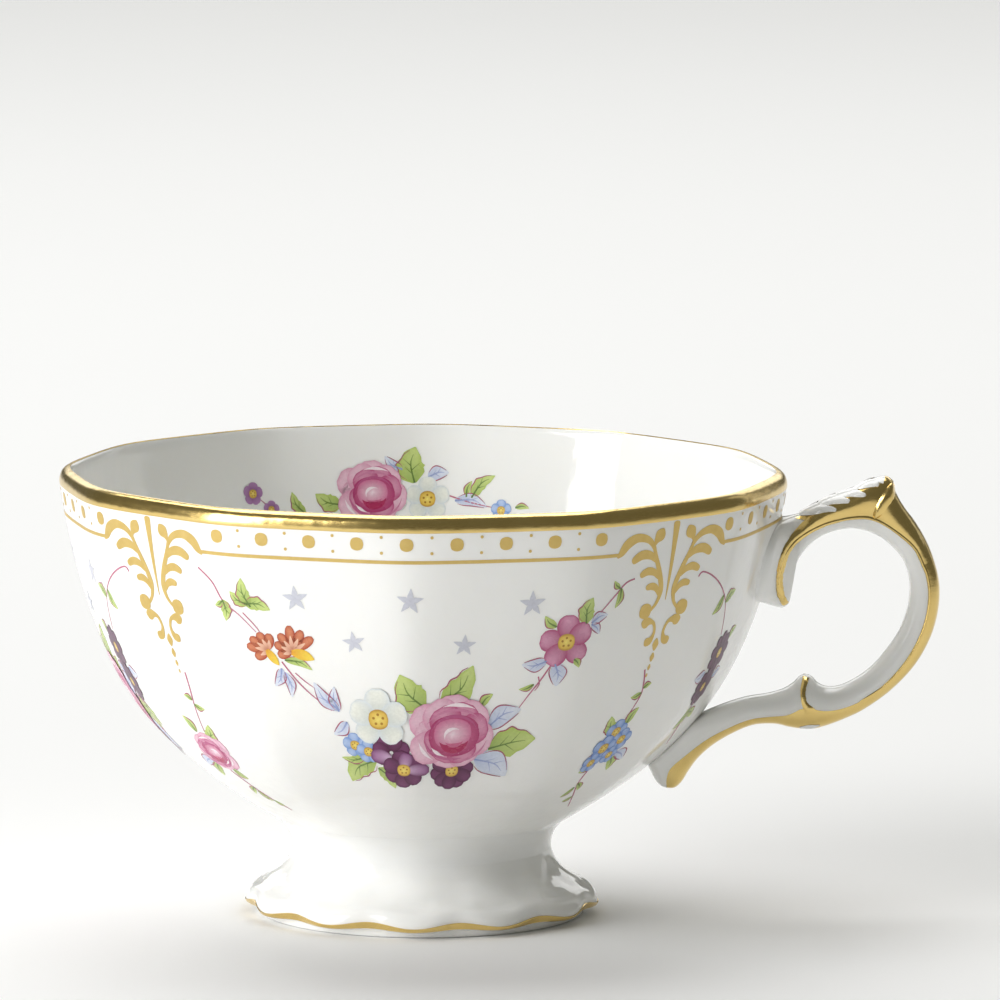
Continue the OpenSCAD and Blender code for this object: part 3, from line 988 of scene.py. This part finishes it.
def corner_spray(skin, degrees, height, side, hang, tail, rosy):
    """The spray that hangs from a scroll's last drop to the bottom of the bowl."""
    spray = Spray(skin, degrees, height, 1.3, side)
    stem(spray, *hang)
    stem(spray, *tail)
    (hang_x, _), (mid_x, mid_y), (low_x, low_y) = hang[2], tail[1], tail[2]
    leaves(spray, (((hang_x, 7.4), (hang_x - 1.6, 6.9), 0.8), ((hang_x, 8.0), (hang_x + 1.2, 8.5), 0.8),
                   ((-1.4, 2.0), (-3.2, 4.6), 1.9), ((0.2, 3.2), (1.2, 5.4), 1.3),
                   ((1.4, -2.0), (2.8, -4.4), 1.5), ((-1.6, -2.6), (-3.4, -4.2), 1.2),
                   ((mid_x, mid_y), (mid_x + 1.6, mid_y - 1.6), 1.0),
                   ((mid_x, mid_y - 0.8), (mid_x - 1.2, mid_y - 2.8), 0.9),
                   ((low_x, low_y), (low_x - 1.4, low_y - 1.0), 0.8)))
    leaves(spray, (((1.8, -1.2), (4.2, -2.6), 1.7), ((-1.6, -1.4), (-3.8, -1.6), 1.5)), "lilac_enamel")
    spray.layers = 2
    if rosy:
        rose(spray, (-0.6, 0), 3.2)
    else:
        for centre, reach in (((-1.0, 2.2), 1.8), ((0.9, 0.9), 1.7), ((-1.7, -0.2), 2.0),
                              ((-2.4, -2.5), 1.6), ((0.3, -1.4), 1.4)):
            blossom(spray, "blue_enamel", centre, reach, five_petals,
                    wash("6a8ed0", "b6cbef", "5a80c8", 2))


def star(skin, degrees, height, radius, tilt):
    spangle = Spray(skin, degrees, height)
    for point in range(5):
        way = math.radians(90 + tilt + 72 * point)
        tip = (radius * math.cos(way), radius * math.sin(way))
        spangle.blade("lilac_enamel", [(0, 0), tip], (0, 0.24 * radius, 0.46 * radius, 0.3 * radius,
                      0.15 * radius, 0.02), wash("cbccd8", "d2d4de"), 10, 2)


def starry_bouquet(name, degrees):
    for turn, height, radius, tilt in ((-18.5, 51.8, 1.95, 4), (0.5, 52.0, 1.95, -4), (20.5, 51.3, 1.95, 2),
                                       (-9.0, 45.8, 1.7, 8), (9.5, 45.5, 1.7, -3)):
        star(outer_skin, degrees + turn, height, radius, tilt)
    bouquet(outer_skin, degrees + 3, 31.8, 1.3)
    return gathered(name, finishes)


for piece in starry_bouquet("front_bouquet", 0):
    enamel = piece.name.split("_", 2)[2]
    moved_round(piece, "back_bouquet_" + enamel, 180)
    moved_round(piece, "left_bouquet_" + enamel, -90)
swag_of_orange(outer_skin, -22, 45)
swag_of_magenta(outer_skin, 27, 45.5)
swag_of_plum(outer_skin, 67.5, 40.4, 1)
swag_of_plum(outer_skin, -67.5, 40.4, -1)
corner_spray(outer_skin, -50, 26.5, -1, [(-3.3, 11.6), (-3.1, 9.6), (-2.6, 7.4), (-1.6, 3.4)],
             [(-0.6, -3.0), (-2.4, -6.0), (-4.2, -8.6), (-6.2, -10.6)], True)
corner_spray(outer_skin, 46, 28.5, 1, [(-0.3, 10.4), (0.3, 8.6), (0.5, 6.8), (-0.6, 3.4)],
             [(-1.6, -3.4), (-1.4, -6.4), (0.8, -9.4), (3.4, -12.0)], False)
for piece in gathered("front_garland", finishes):
    moved_round(piece, "back_garland_" + piece.name.split("_", 2)[2], 180)

inner_spray = Spray(inner_skin, 191.5, 54.5)
leaves(inner_spray, (((6.4, 1.0), (6.5, 6.3), 4.0), ((-4.8, -2.0), (-8.7, -0.3), 2.6),
                     ((-10.4, -3.3), (-12.3, 0.1), 1.6), ((14.1, -1.0), (14.9, 1.4), 0.9),
                     ((14.9, -1.1), (18.4, 2.3), 1.8), ((21.8, -2.3), (24.0, -2.3), 0.9),
                     ((1.0, -4.0), (3.4, -8.6), 2.8), ((-2.4, -3.8), (-6.4, -7.0), 2.6)))
leaves(inner_spray, (((8.4, 1.8), (11.4, 2.5), 2.0), ((4.6, 3.0), (2.0, 5.0), 1.5),
                     ((12.4, -1.6), (17.4, -2.4), 1.8), ((5.0, -5.2), (8.6, -7.4), 2.0)), "lilac_enamel")
stem(inner_spray, (-11.2, -2.6), (-14.4, -3.0), (-17.4, -0.8))
stem(inner_spray, (10.6, -0.6), (14.8, -1.8), (19.4, -2.6))
inner_spray.layers = 2
blossom(inner_spray, "lilac_enamel", (8.3, -1.4), 3.3, *primula, 0.36, 0.84)
blossom(inner_spray, "blue_enamel", (19.6, -2.8), 1.6, five_petals, forget_me_not)
for centre, reach in (((-18.7, 0.2), 1.7), ((-15.8, -2.3), 1.3)):
    blossom(inner_spray, "plum_enamel", centre, reach, range(10, 370, 72), wash("7a3f78", "b98bbd"))
rose(inner_spray, (0.2, -0.6), 5.0)
gathered("inner_spray", finishes)

visual_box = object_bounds()
[[list(corner) for corner in box] for box in (cad_box, visual_box)]
